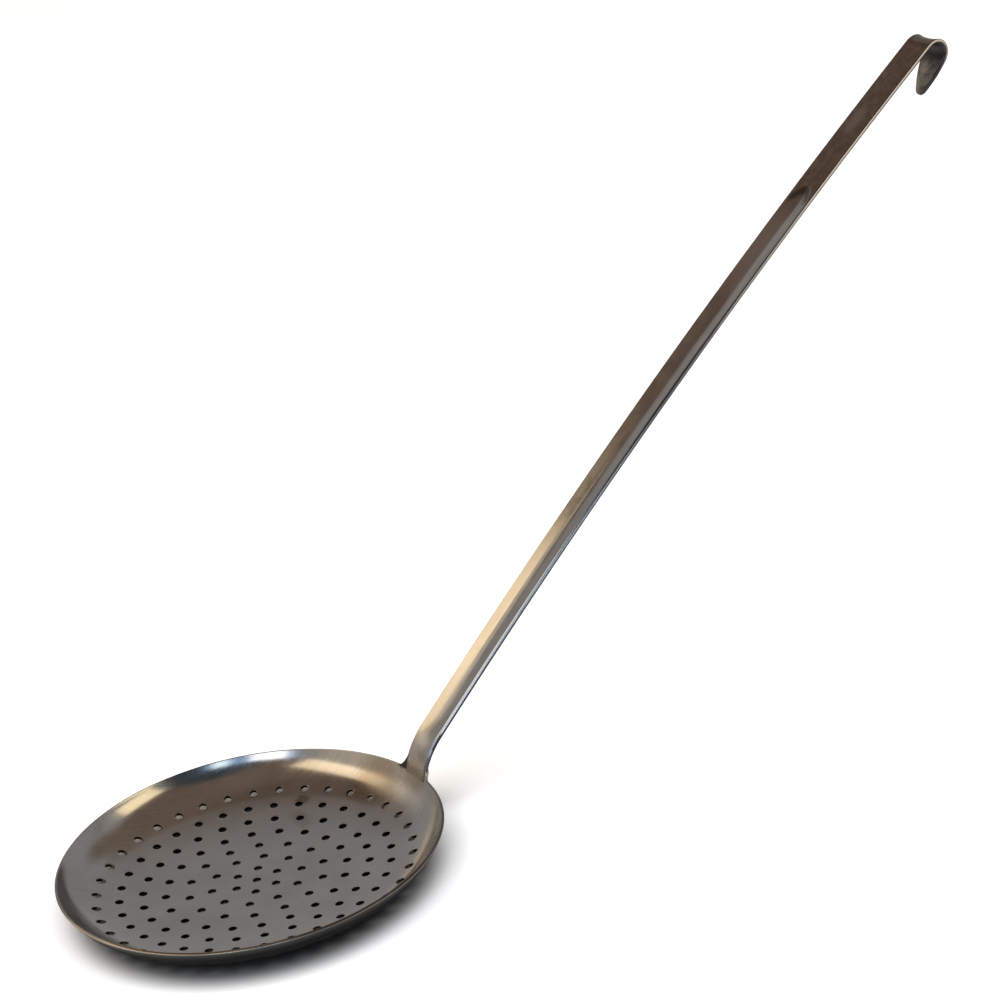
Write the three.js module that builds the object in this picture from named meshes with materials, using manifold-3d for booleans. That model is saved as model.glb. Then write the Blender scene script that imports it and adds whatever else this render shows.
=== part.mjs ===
// Perforated kitchen skimmer: a shallow dished bowl, drilled in rings, on one long bent strip handle.
// The strip's end is butt-welded to the bowl's rim, and its top is rolled over into a hanging hook.
// Millimetres, +Z up. The rim is level, the handle rises along +X, and the origin is under the middle of
// the part, on the level of the bowl's underside.
import * as THREE from 'three';
import { mergeGeometries, mergeVertices } from 'three/addons/utils/BufferGeometryUtils.js';
import Module from 'manifold-3d';

// Bowl, pressed from sheet: a flat middle, a gently dished floor and a wall that turns up to a plain cut edge
const RIM_DIAMETER = 160;
const SHEET = 1.3;
const BOWL_DEPTH = 16.5;
const FLAT_DIAMETER = 40;
const DISH_RADIUS = 245;
const WALL_WIDTH = 19;

// Drain holes, one in the middle and the rest in rings around it. The rings' turns are in degrees.
const HOLE_DIAMETER = 3.4;
const PUNCH_LENGTH = 40;
const OUTER_RING_INSET = 14.55;
const RING_COUNTS = [6, 10, 14, 20, 26, 32, 37];
const RING_TURNS = [0.2, -17.8, -16, -5.7, -15.8, -23.6, -53.1];

// Handle, one bent strip. Angles are in degrees from level and radii are those of the strip's front face,
// apart from the hook's, which is the space that it hangs by.
const STRIP_WIDTH = 15;
const STRIP_THICKNESS = 2;
const STRIP_EDGE = 0.5;
const NECK_INSET = 0.55;
const NECK_ANGLE = 69;
const NECK_RADIUS = 36.4;
const SHANK_ANGLE = 40.7;
const SHANK_LENGTH = 358.7;
const SHANK_BOW_RADIUS = 3000;
const HOOK_RADIUS = 4.4;
const HOOK_TURN = 159;
const HOOK_SADDLE = 0.9;
const TONGUE_LENGTH = 17.2;
const TONGUE_TIP_WIDTH = 3.6;
const TONGUE_BULGE = 0.9;

// Stiffening groove, pressed into the front of the shank so that a rib stands out on its back. It starts in
// the neck's bend, measured from the strip's end at the rim, deepens slowly and ends in a rounded nose.
// The margin is the land left along each edge of the strip.
const GROOVE_MARGIN = 0.6;
const GROOVE_DEPTH = 1.25;
const GROOVE_START = 6;
const GROOVE_LENGTH = 292;
const GROOVE_FADE = 20;
const GROOVE_NOSE = 12;

// Weld bead between the rim and the strip's end, with a toe climbing each edge of the strip
const WELD_ROOT = 1.8;
const WELD_PROUD = 0.6;
const WELD_TOE_EDGE = 0.35;
const LEFT_TOE_WIDTH = 5;
const LEFT_TOE_HEIGHT = 6;
const RIGHT_TOE_WIDTH = 1.4;
const RIGHT_TOE_HEIGHT = 3;
const FIT_GAP = 0.3;

// Facets
const BOWL_SEGMENTS = 60;
const DISH_STEPS = 3;
const WALL_STEPS = 5;
const HOLE_SIDES = 8;
const SECTION_STEPS = 12;
const EDGE_STEPS = 2;

const radians = THREE.MathUtils.degToRad;
const lerp = THREE.MathUtils.lerp;

// Evenly spaced values from one end to the other, both included
function spread(from, to, steps) {
  return Array.from({ length: steps + 1 }, (_, i) => lerp(from, to, i / steps));
}

// A closed solid through a row of matching rings. The rings' first half runs one way along the section and
// the second half runs back, so each end is closed by quads across the section.
function loft(rings) {
  const size = rings[0].length;
  const index = [];
  const quad = (a, b, c, d) => index.push(a, b, c, a, c, d);
  for (let ring = 0; ring + 1 < rings.length; ring += 1) {
    for (let i = 0; i < size; i += 1) {
      const next = (i + 1) % size;
      const low = ring * size;
      const high = low + size;
      quad(low + i, low + next, high + next, high + i);
    }
  }
  const last = (rings.length - 1) * size;
  for (let i = 0; i + 1 < size / 2; i += 1) {
    const across = size - 1 - i;
    quad(across, across - 1, i + 1, i);
    quad(last + i, last + i + 1, last + across - 1, last + across);
  }
  const geometry = new THREE.BufferGeometry().setFromPoints(rings.flat());
  geometry.setIndex(index);
  geometry.computeVertexNormals();
  return geometry;
}

const wasm = await Module();
wasm.setup();

function toSolid(geometry) {
  const plain = geometry.clone();
  plain.deleteAttribute('normal');
  plain.deleteAttribute('uv');
  const merged = mergeVertices(plain, 1e-4);
  const vertProperties = new Float32Array(merged.attributes.position.array);
  const triVerts = new Uint32Array(merged.index.array);
  return new wasm.Manifold(new wasm.Mesh({ numProp: 3, vertProperties, triVerts }));
}

function fromSolid(solid) {
  const mesh = solid.getMesh();
  const geometry = new THREE.BufferGeometry();
  geometry.setAttribute('position', new THREE.BufferAttribute(mesh.vertProperties, 3));
  geometry.setIndex(new THREE.BufferAttribute(mesh.triVerts, 1));
  geometry.computeVertexNormals();
  return geometry;
}

function steel(color, roughness) {
  return new THREE.MeshStandardMaterial({ color, roughness, metalness: 1 });
}

// Bowl profile: heights are measured from the rim, and the slope is the sheet's angle from level.
// The wall is one arc that leaves the dished floor smoothly and ends at the rim.
const flatRadius = FLAT_DIAMETER / 2;
const wallStart = RIM_DIAMETER / 2 - WALL_WIDTH;
const wallStartSlope = Math.asin((wallStart - flatRadius) / DISH_RADIUS);
const wallStartRise = DISH_RADIUS * (1 - Math.cos(wallStartSlope));

function rimSlopeFor(innerRadius) {
  const chord = Math.atan2(BOWL_DEPTH - wallStartRise, innerRadius - wallStart);
  return 2 * chord - wallStartSlope;
}

// The rim's edge is cut square to the sheet, so its slope and its inner radius settle each other
let rimSlope = rimSlopeFor(RIM_DIAMETER / 2 - SHEET);
let rimInner = RIM_DIAMETER / 2 - SHEET * Math.sin(rimSlope);
for (let round = 0; round < 20; round += 1) {
  rimSlope = rimSlopeFor(rimInner);
  rimInner = RIM_DIAMETER / 2 - SHEET * Math.sin(rimSlope);
}
const rimOuter = RIM_DIAMETER / 2;
const rimOuterDrop = SHEET * Math.cos(rimSlope);
const wallRadius = (rimInner - wallStart) / (Math.sin(rimSlope) - Math.sin(wallStartSlope));

// The inside of the sheet at a plan radius
function insideAt(radius) {
  if (radius <= flatRadius) {
    return { radius, height: -BOWL_DEPTH, slope: 0 };
  }
  if (radius <= wallStart) {
    const slope = Math.asin((radius - flatRadius) / DISH_RADIUS);
    return { radius, height: DISH_RADIUS * (1 - Math.cos(slope)) - BOWL_DEPTH, slope };
  }
  const slope = Math.asin((radius - wallStart) / wallRadius + Math.sin(wallStartSlope));
  const rise = wallRadius * (Math.cos(wallStartSlope) - Math.cos(slope));
  return { radius, height: wallStartRise + rise - BOWL_DEPTH, slope };
}

function bowlProfile() {
  const wallSlopes = spread(wallStartSlope, rimSlope, WALL_STEPS).slice(1);
  const wallRadii = wallSlopes.map((s) => wallStart + wallRadius * (Math.sin(s) - Math.sin(wallStartSlope)));
  const radii = [HOLE_DIAMETER / 2, ...spread(flatRadius, wallStart, DISH_STEPS), ...wallRadii];
  const inside = radii.map(insideAt);
  const inner = inside.map((p) => new THREE.Vector2(p.radius, p.height));
  const outer = inside.map((p) => new THREE.Vector2(
    p.radius + SHEET * Math.sin(p.slope),
    p.height - SHEET * Math.cos(p.slope),
  ));
  return [...outer, ...inner.reverse(), outer[0].clone()];
}

// One hole's punch, square to the sheet: a long cone, so the hole widens a little towards the underside
function punchAt(radius, angle) {
  const { height, slope } = insideAt(radius);
  const outward = new THREE.Vector3(Math.cos(angle), Math.sin(angle), 0);
  const normal = outward.clone().multiplyScalar(-Math.sin(slope)).setZ(Math.cos(slope));
  const length = PUNCH_LENGTH + 2 * SHEET;
  const punch = new THREE.ConeGeometry((HOLE_DIAMETER / 2) * (length / PUNCH_LENGTH), length, HOLE_SIDES);
  punch.translate(0, PUNCH_LENGTH - length / 2, 0);
  punch.applyQuaternion(new THREE.Quaternion().setFromUnitVectors(new THREE.Vector3(0, 1, 0), normal));
  return punch.translate(radius * outward.x, radius * outward.y, height);
}

function bowlGeometry() {
  const shell = toSolid(new THREE.LatheGeometry(bowlProfile(), BOWL_SEGMENTS).rotateX(Math.PI / 2));
  const punches = [];
  const ringPitch = (RIM_DIAMETER / 2 - OUTER_RING_INSET) / RING_COUNTS.length;
  RING_COUNTS.forEach((count, ring) => {
    const radius = ringPitch * (ring + 1);
    for (let hole = 0; hole < count; hole += 1) {
      punches.push(punchAt(radius, radians(RING_TURNS[ring]) + (2 * Math.PI * hole) / count));
    }
  });
  return fromSolid(shell.subtract(toSolid(mergeGeometries(punches))));
}

// Handle: the line of the strip's front face in the XZ plane, from the rim to the tip of the hook.
// Each leg turns down, towards the strip's back, evenly along its length.
const neckTurn = radians(NECK_ANGLE - SHANK_ANGLE);
const hookTurn = radians(HOOK_TURN);
const legs = {
  neck: { length: neckTurn * NECK_RADIUS, turn: neckTurn },
  shank: { length: SHANK_LENGTH, turn: SHANK_LENGTH / SHANK_BOW_RADIUS },
  hook: { length: hookTurn * (HOOK_RADIUS + STRIP_THICKNESS), turn: hookTurn },
  tongue: { length: TONGUE_LENGTH, turn: 0 },
};
const shankFrom = legs.neck.length;
const hookFrom = shankFrom + legs.shank.length;
const tongueFrom = hookFrom + legs.hook.length;
const tipAt = tongueFrom + legs.tongue.length;

function frontAt(distance) {
  const point = new THREE.Vector3(rimInner - NECK_INSET, 0, WELD_ROOT);
  let angle = radians(NECK_ANGLE);
  let left = distance;
  for (const { length, turn } of Object.values(legs)) {
    const run = Math.min(left, length);
    const end = angle - (turn * run) / length;
    if (turn === 0) {
      point.x += run * Math.cos(angle);
      point.z += run * Math.sin(angle);
    } else {
      const radius = length / turn;
      point.x += radius * (Math.sin(angle) - Math.sin(end));
      point.z += radius * (Math.cos(end) - Math.cos(angle));
    }
    angle = end;
    left -= run;
  }
  const along = new THREE.Vector3(Math.cos(angle), 0, Math.sin(angle));
  const front = new THREE.Vector3(-Math.sin(angle), 0, Math.cos(angle));
  return { point, along, front };
}

// The tongue narrows from the hook with slightly full sides, and its tip is rounded off
function halfWidthAt(distance) {
  const tipHalf = TONGUE_TIP_WIDTH / 2;
  const tipRound = Math.min(tipHalf, TONGUE_LENGTH / 2);
  const share = THREE.MathUtils.clamp((distance - tongueFrom) / TONGUE_LENGTH, 0, 1);
  const half = lerp(STRIP_WIDTH / 2, tipHalf, share) + TONGUE_BULGE * Math.sin(Math.PI * share);
  const past = Math.max(0, distance - (tipAt - tipRound)) / tipRound;
  return half * Math.sqrt(1 - 0.8 * past * past);
}

// How far the groove sinks the strip: a shallow trough across it, closed by the rounded nose
const grooveHalf = STRIP_WIDTH / 2 - GROOVE_MARGIN;
const grooveFull = GROOVE_START + GROOVE_FADE;
const grooveTo = GROOVE_START + GROOVE_LENGTH;
const noseFrom = grooveTo - GROOVE_NOSE;

function grooveAt(distance, y) {
  const depth = GROOVE_DEPTH * THREE.MathUtils.smoothstep(distance, GROOVE_START, grooveFull);
  const intoNose = Math.max(0, distance - noseFrom) / GROOVE_NOSE;
  return depth * Math.max(0, 1 - (y / grooveHalf) ** 2 - intoNose ** 2);
}

// Rolling the hook lifts the strip's edges a little away from the bend's middle
function saddleAt(distance) {
  const share = THREE.MathUtils.clamp((distance - hookFrom) / legs.hook.length, 0, 1);
  return HOOK_SADDLE * Math.sin(Math.PI * share) ** 2;
}

function stripSection(distance) {
  const { point, front } = frontAt(distance);
  const half = halfWidthAt(distance);
  const saddle = saddleAt(distance);
  const edge = Math.min(STRIP_EDGE, half / 2, STRIP_THICKNESS * 0.45);
  const sink = (y) => grooveAt(distance, y) - saddle * (y / half) ** 2;
  const place = (y, below) => point.clone().addScaledVector(front, -below - sink(y)).setY(y);
  const round = spread(0, Math.PI / 2, EDGE_STEPS).slice(0, -1);
  const corner = round.map((turn) => [half - edge * (1 - Math.cos(turn)), edge * (1 - Math.sin(turn))]);
  const across = [
    ...corner,
    ...spread(half - edge, edge - half, SECTION_STEPS).map((y) => [y, 0]),
    ...corner.map(([y, below]) => [-y, below]).reverse(),
  ];
  const face = across.map(([y, below]) => place(y, below));
  const back = across.map(([y, below]) => place(y, STRIP_THICKNESS - below));
  return [...face, ...back.reverse()];
}

function handleGeometry() {
  const tipRoundFrom = tipAt - Math.min(TONGUE_TIP_WIDTH, TONGUE_LENGTH) / 2;
  const stops = [
    ...spread(0, GROOVE_START, 4),
    ...spread(GROOVE_START, grooveFull, 7).slice(1),
    ...spread(grooveFull, noseFrom, 10).slice(1),
    ...spread(noseFrom, grooveTo, 6).slice(1),
    ...spread(grooveTo, hookFrom, 4).slice(1),
    ...spread(hookFrom, tongueFrom, 14).slice(1),
    ...spread(tongueFrom, tipRoundFrom, 3).slice(1),
    ...spread(tipRoundFrom, tipAt, 4).slice(1),
  ];
  return loft(stops.map(stripSection));
}

// Weld bead: four-cornered sections across the joint, from the rim's cut edge up to the strip's end, and
// past the strip's edges up a hollow toe on each side
const stripHalf = STRIP_WIDTH / 2;

function beadFoot(y) {
  const wall = new THREE.Vector3(Math.cos(rimSlope), 0, Math.sin(rimSlope));
  const outward = new THREE.Vector3(Math.sin(rimSlope), 0, -Math.cos(rimSlope));
  const inner = new THREE.Vector3(Math.sqrt(rimInner ** 2 - y ** 2), y, 0);
  const outer = new THREE.Vector3(Math.sqrt(rimOuter ** 2 - y ** 2), y, -rimOuterDrop);
  inner.addScaledVector(wall, FIT_GAP);
  outer.addScaledVector(wall, FIT_GAP).addScaledVector(outward, WELD_PROUD);
  return { inner, outer, wall };
}

function beadUnderStrip(y) {
  const foot = beadFoot(y);
  const { point, along, front } = frontAt(0);
  const top = point.clone().addScaledVector(along, -FIT_GAP).setY(y);
  const backTop = top.clone().addScaledVector(front, -(STRIP_THICKNESS + WELD_PROUD));
  return [foot.inner, top, backTop, foot.outer];
}

function beadToe(side, width, height, share) {
  const foot = beadFoot(side * (stripHalf + FIT_GAP + width * share));
  const { point, front } = frontAt(height);
  const climb = (1 - share) ** 2;
  const rise = (from, below) => {
    const low = from.clone().addScaledVector(foot.wall, WELD_TOE_EDGE);
    const high = point.clone().addScaledVector(front, -below).setY(from.y);
    return low.lerp(high, climb);
  };
  const top = rise(foot.inner, STRIP_EDGE);
  const backTop = rise(foot.outer, STRIP_THICKNESS);
  return [foot.inner, top, backTop, foot.outer];
}

function weldGeometry() {
  const shares = spread(0, 1, 4);
  const right = shares.map((share) => beadToe(-1, RIGHT_TOE_WIDTH, RIGHT_TOE_HEIGHT, share));
  const left = shares.map((share) => beadToe(1, LEFT_TOE_WIDTH, LEFT_TOE_HEIGHT, share));
  const reach = stripHalf + FIT_GAP;
  const middle = spread(-reach, reach, 6).map(beadUnderStrip);
  return loft([...right.reverse(), ...middle, ...left]);
}

const skimmer = new THREE.Group();

function addPiece(name, geometry, material) {
  const mesh = new THREE.Mesh(geometry, material);
  mesh.name = name;
  skimmer.add(mesh);
}

addPiece('bowl', bowlGeometry(), steel(0x8f8a84, 0.38));
addPiece('handle', handleGeometry(), steel(0x7d7268, 0.32));
addPiece('weld_bead', weldGeometry(), steel(0x5a4c40, 0.5));

// The origin goes under the middle of the whole part
const bounds = new THREE.Box3().setFromObject(skimmer);
const middle = bounds.getCenter(new THREE.Vector3());
skimmer.position.set(-middle.x, -middle.y, -bounds.min.z);

export default skimmer;
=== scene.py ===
# Perforated steel skimmer: a dished bowl punched in rings, welded to one long grooved strip with a hook.
# The frame is the part's own: metres, +Z up, the rim level and the handle rising along +X.
import math

import bpy
import numpy as np
from mathutils import Matrix, Quaternion, Vector


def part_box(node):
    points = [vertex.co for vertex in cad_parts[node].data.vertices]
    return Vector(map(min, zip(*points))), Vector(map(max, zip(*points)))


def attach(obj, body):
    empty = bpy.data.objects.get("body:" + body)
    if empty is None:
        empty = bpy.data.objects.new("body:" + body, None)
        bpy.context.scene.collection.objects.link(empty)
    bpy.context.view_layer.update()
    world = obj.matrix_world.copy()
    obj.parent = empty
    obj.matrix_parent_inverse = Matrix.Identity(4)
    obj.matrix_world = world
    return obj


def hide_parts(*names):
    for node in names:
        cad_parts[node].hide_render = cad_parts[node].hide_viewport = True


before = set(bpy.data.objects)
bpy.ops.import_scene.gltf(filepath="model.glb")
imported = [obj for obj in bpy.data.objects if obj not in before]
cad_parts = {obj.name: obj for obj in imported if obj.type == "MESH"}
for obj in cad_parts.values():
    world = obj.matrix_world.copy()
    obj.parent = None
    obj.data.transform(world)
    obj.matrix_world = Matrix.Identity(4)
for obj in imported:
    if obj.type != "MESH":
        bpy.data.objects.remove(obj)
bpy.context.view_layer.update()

MM = 0.001
bowl_low, bowl_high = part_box("bowl")
AXIS_X = (bowl_low.x + bowl_high.x) / 2 / MM
RIM_Z = bowl_high.z / MM

# Bowl sizes, in millimetres
RIM_RADIUS = 80.0
SHEET = 1.3
BOWL_DEPTH = 16.5
FLAT_RADIUS = 20.0
DISH_RADIUS = 245.0
WALL_WIDTH = 19.0
RIM_ROUND = 0.35
BOWL_SEGMENTS = 192
FLAT_RINGS = (0.0, 5.0, 10.0, 15.0)
DISH_RINGS = 22
WALL_RINGS = 26
RIM_ROUND_STEPS = 5
BOWL_CREASE = 32.0

# Drain holes, in millimetres and degrees
HOLE_RADIUS = 1.7
HOLE_LIP = 0.22
HOLE_SIDES = 20
LIP_STEPS = 4
PUNCH_FLANGE = 0.4
PUNCH_FLANGE_GAP = 0.05
PUNCH_ABOVE = 1.2
PUNCH_BELOW = 3.0
OUTER_RING_INSET = 14.55
RING_COUNTS = (6, 10, 14, 20, 26, 32, 37)
RING_TURNS = (0.2, -17.8, -16.0, -5.7, -15.8, -23.6, -53.1)

# Handle sizes, in millimetres and degrees
STRIP_WIDTH = 15.0
STRIP_THICKNESS = 2.0
STRIP_EDGE = 0.3
WORN_EDGE = 1.15
WORN_EDGE_ENDS = (130.0, 275.0)
BACK_EDGE = 0.5
NECK_INSET = 0.55
NECK_ANGLE = 69.0
NECK_RADIUS = 36.4
SHANK_ANGLE = 40.7
SHANK_LENGTH = 358.7
SHANK_BOW_RADIUS = 3000.0
HOOK_RADIUS = 4.4
HOOK_TURN = 159.0
HOOK_SADDLE = 0.9
TONGUE_LENGTH = 17.2
TONGUE_TIP_WIDTH = 3.6
TONGUE_BULGE = 0.9
GROOVE_MARGIN = 0.6
GROOVE_DEPTH = 1.25
GROOVE_START = 6.0
GROOVE_LENGTH = 292.0
GROOVE_FADE = 20.0
GROOVE_NOSE = 12.0

# Steps along and across the strip, in millimetres or as counts
FOOT_SUNK = 0.6
FOOT_STEP = 0.6
SHANK_STEP = 4.0
NOSE_STEP = 0.4
NOSE_OVERRUN = 0.5
UPPER_GAP = 1.0
UPPER_STEP = 2.5
HOOK_STEPS = 64
TONGUE_STEP = 0.7
TIP_STEPS = 8
TIP_LEAST = 0.02
ROW_POINTS = 43
CORNER_POINTS = 7
CORNER_BOW = 0.06
HANDLE_CREASE = 30.0

# Weld sizes, in millimetres
WELD_ROOT = 1.8
WELD_FRONT_REACH = 4.0
WELD_BACK_REACH = 3.6
WELD_BULGE = 0.9
WELD_SINK = 0.12
LEFT_TOE = (5.0, 6.0)
RIGHT_TOE = (1.4, 3.0)
TOE_OVERLAP = 0.4
TOE_HOLLOW = 1.5
ROOT_ABOVE = 0.15
ROOT_SINK = 0.35
FRONT_FOOT = 2.8
FRONT_FOOT_LEAST = 0.2
FRONT_LOW = 0.2
FRONT_BULGE = 0.22
BACK_FOOT = 2.4
BACK_FOOT_LEAST = 0.3
BACK_LOW = 0.4
BACK_SAG = (0.4, 0.0, -0.2)
WELD_BEND = 0.55
WELD_STEPS = 12
RIGHT_TOE_SECTIONS = 14
WELD_SECTIONS = 36
LEFT_TOE_SECTIONS = 20
WELD_CREASE = 60.0
# Each ripple along the weld: height, waves in radians per millimetre, start in radians
WELD_RIPPLES = ((0.06, 2.3, 0.0), (0.04, 5.1, 1.0))

# Bowl profile: the wall is one arc that leaves the dished floor smoothly and ends at the rim
wall_start = RIM_RADIUS - WALL_WIDTH
wall_start_slope = math.asin((wall_start - FLAT_RADIUS) / DISH_RADIUS)
wall_start_rise = DISH_RADIUS * (1 - math.cos(wall_start_slope))
rim_inner = RIM_RADIUS - SHEET
for _ in range(20):
    chord = math.atan2(BOWL_DEPTH - wall_start_rise, rim_inner - wall_start)
    rim_slope = 2 * chord - wall_start_slope
    rim_inner = RIM_RADIUS - SHEET * math.sin(rim_slope)
wall_radius = (rim_inner - wall_start) / (math.sin(rim_slope) - math.sin(wall_start_slope))


def inside_at(radius):
    """Height in the frame and slope of the bowl's inner face at a plan radius."""
    floor = RIM_Z - BOWL_DEPTH
    if radius <= FLAT_RADIUS:
        return floor, 0.0
    if radius <= wall_start:
        slope = math.asin((radius - FLAT_RADIUS) / DISH_RADIUS)
        return floor + DISH_RADIUS * (1 - math.cos(slope)), slope
    slope = math.asin(min(1.0, (radius - wall_start) / wall_radius + math.sin(wall_start_slope)))
    rise = wall_radius * (math.cos(wall_start_slope) - math.cos(slope))
    return floor + wall_start_rise + rise, slope


def arc(centre, radius, start, end, steps):
    """Points on an arc between two angles in radians, both ends included."""
    turns = np.linspace(start, end, steps + 1)
    return [(centre[0] + radius * math.cos(t), centre[1] + radius * math.sin(t)) for t in turns]


def rim_edge():
    """The cut edge of the sheet, square to the wall with its two corners rounded."""
    inner_height, _ = inside_at(rim_inner)
    up_wall = np.array([math.cos(rim_slope), math.sin(rim_slope)])
    outward = np.array([math.sin(rim_slope), -math.cos(rim_slope)])
    corner = np.array([rim_inner, inner_height])
    near = corner + RIM_ROUND * outward - RIM_ROUND * up_wall
    far = corner + (SHEET - RIM_ROUND) * outward - RIM_ROUND * up_wall
    turn = rim_slope + math.pi / 2
    first = arc(near, RIM_ROUND, turn, turn - math.pi / 2, RIM_ROUND_STEPS)
    second = arc(far, RIM_ROUND, turn - math.pi / 2, turn - math.pi, RIM_ROUND_STEPS)
    return first + second


def bowl_profile():
    """Radius and height pairs over the inside, the rim and back under the outside."""
    slope_end = rim_slope - RIM_ROUND / wall_radius
    slopes = np.linspace(wall_start_slope, slope_end, WALL_RINGS + 1)[1:]
    wall = wall_start + wall_radius * (np.sin(slopes) - math.sin(wall_start_slope))
    radii = [*FLAT_RINGS, *np.linspace(FLAT_RADIUS, wall_start, DISH_RINGS), *wall]
    inner = []
    outer = []
    for radius in radii:
        height, slope = inside_at(radius)
        inner.append((radius, height))
        outer.append((radius + SHEET * math.sin(slope), height - SHEET * math.cos(slope)))
    return inner[:-1] + rim_edge() + outer[-2::-1]


def lathe(profile, segments):
    """Points and faces of a profile turned about Z. Its two ends lie on the axis."""
    turns = np.linspace(0, 2 * math.pi, segments, endpoint=False)
    points = [(0.0, 0.0, profile[0][1])]
    for radius, height in profile[1:-1]:
        points += [(radius * math.cos(t), radius * math.sin(t), height) for t in turns]
    points.append((0.0, 0.0, profile[-1][1]))
    last_ring = 1 + (len(profile) - 3) * segments
    faces = []
    for i in range(segments):
        after = (i + 1) % segments
        faces.append((0, 1 + i, 1 + after))
        faces.append((len(points) - 1, last_ring + after, last_ring + i))
        for ring in range(1, last_ring, segments):
            outer = ring + segments
            faces.append((ring + i, outer + i, outer + after, ring + after))
    return np.array(points), faces


def loft(rings):
    """Points and faces through matching rings, whose second half runs back along the first."""
    size = len(rings[0])
    faces = []
    for ring in range(len(rings) - 1):
        low = ring * size
        high = low + size
        for i in range(size):
            after = (i + 1) % size
            faces.append((low + i, low + after, high + after, high + i))
    last = (len(rings) - 1) * size
    for i in range(size // 2 - 1):
        across = size - 1 - i
        faces.append((across, across - 1, i + 1, i))
        faces.append((last + i, last + i + 1, last + across - 1, last + across))
    return np.concatenate(rings), faces


def make_object(name, points, faces):
    mesh = bpy.data.meshes.new(name)
    mesh.from_pydata((points * MM).tolist(), [], faces)
    made = bpy.data.objects.new(name, mesh)
    bpy.context.scene.collection.objects.link(made)
    return made


def smooth_with_creases(mesh, degrees):
    mesh.shade_smooth()
    mesh.set_sharp_from_angle(angle=math.radians(degrees))


def store_values(mesh, name, values):
    attribute = mesh.attributes.new(name, "FLOAT", "POINT")
    attribute.data.foreach_set("value", np.asarray(values, np.float32))


def mesh_points(mesh):
    """A mesh's points in millimetres."""
    flat = np.zeros(len(mesh.vertices) * 3, np.float32)
    mesh.vertices.foreach_get("co", flat)
    return flat.reshape(-1, 3) / MM


# Node helpers
def add_node(tree, kind, inputs=None, **settings):
    """A new node with its settings, whose inputs are given as sockets to link or as values."""
    made = tree.nodes.new(kind)
    for name, value in settings.items():
        setattr(made, name, value)
    for name, value in (inputs or {}).items():
        socket = made.inputs[name]
        if isinstance(value, bpy.types.NodeSocket):
            tree.links.new(value, socket)
        else:
            socket.default_value = value
    return made


def calculate(tree, operation, *values, clamp=False):
    inputs = dict(enumerate(values))
    return add_node(tree, "ShaderNodeMath", inputs, operation=operation, use_clamp=clamp).outputs[0]


def vector_math(tree, operation, *vectors):
    made = add_node(tree, "ShaderNodeVectorMath", dict(enumerate(vectors)), operation=operation)
    if operation in ("LENGTH", "DISTANCE", "DOT_PRODUCT"):
        return made.outputs["Value"]
    return made.outputs[0]


def ramp(tree, value, low, high, low_result=0.0, high_result=1.0):
    """A smooth step of a value between two limits."""
    inputs = {0: value, 1: low, 2: high, 3: low_result, 4: high_result}
    return add_node(tree, "ShaderNodeMapRange", inputs, interpolation_type="SMOOTHSTEP").outputs[0]


def mix_colour(tree, factor, first, second, blend="MIX"):
    made = add_node(tree, "ShaderNodeMix", data_type="RGBA", blend_type=blend)
    for index, value in ((0, factor), (6, first), (7, second)):
        if isinstance(value, bpy.types.NodeSocket):
            tree.links.new(value, made.inputs[index])
        elif index == 0:
            made.inputs[index].default_value = value
        else:
            made.inputs[index].default_value = (*value, 1.0)
    return made.outputs[2]


def band(tree, value, rise, fall):
    """1 between two smooth limits of a value and 0 outside them."""
    return calculate(tree, "MULTIPLY", ramp(tree, value, *rise), ramp(tree, value, *fall))


def stained(tree, colour, mask, share, stain):
    """A colour with a share of a stain over it where the mask is 1."""
    return mix_colour(tree, calculate(tree, "MULTIPLY", mask, share), colour, stain)


def grey(tree, value):
    return add_node(tree, "ShaderNodeCombineColor", {0: value, 1: value, 2: value}).outputs[0]


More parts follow.
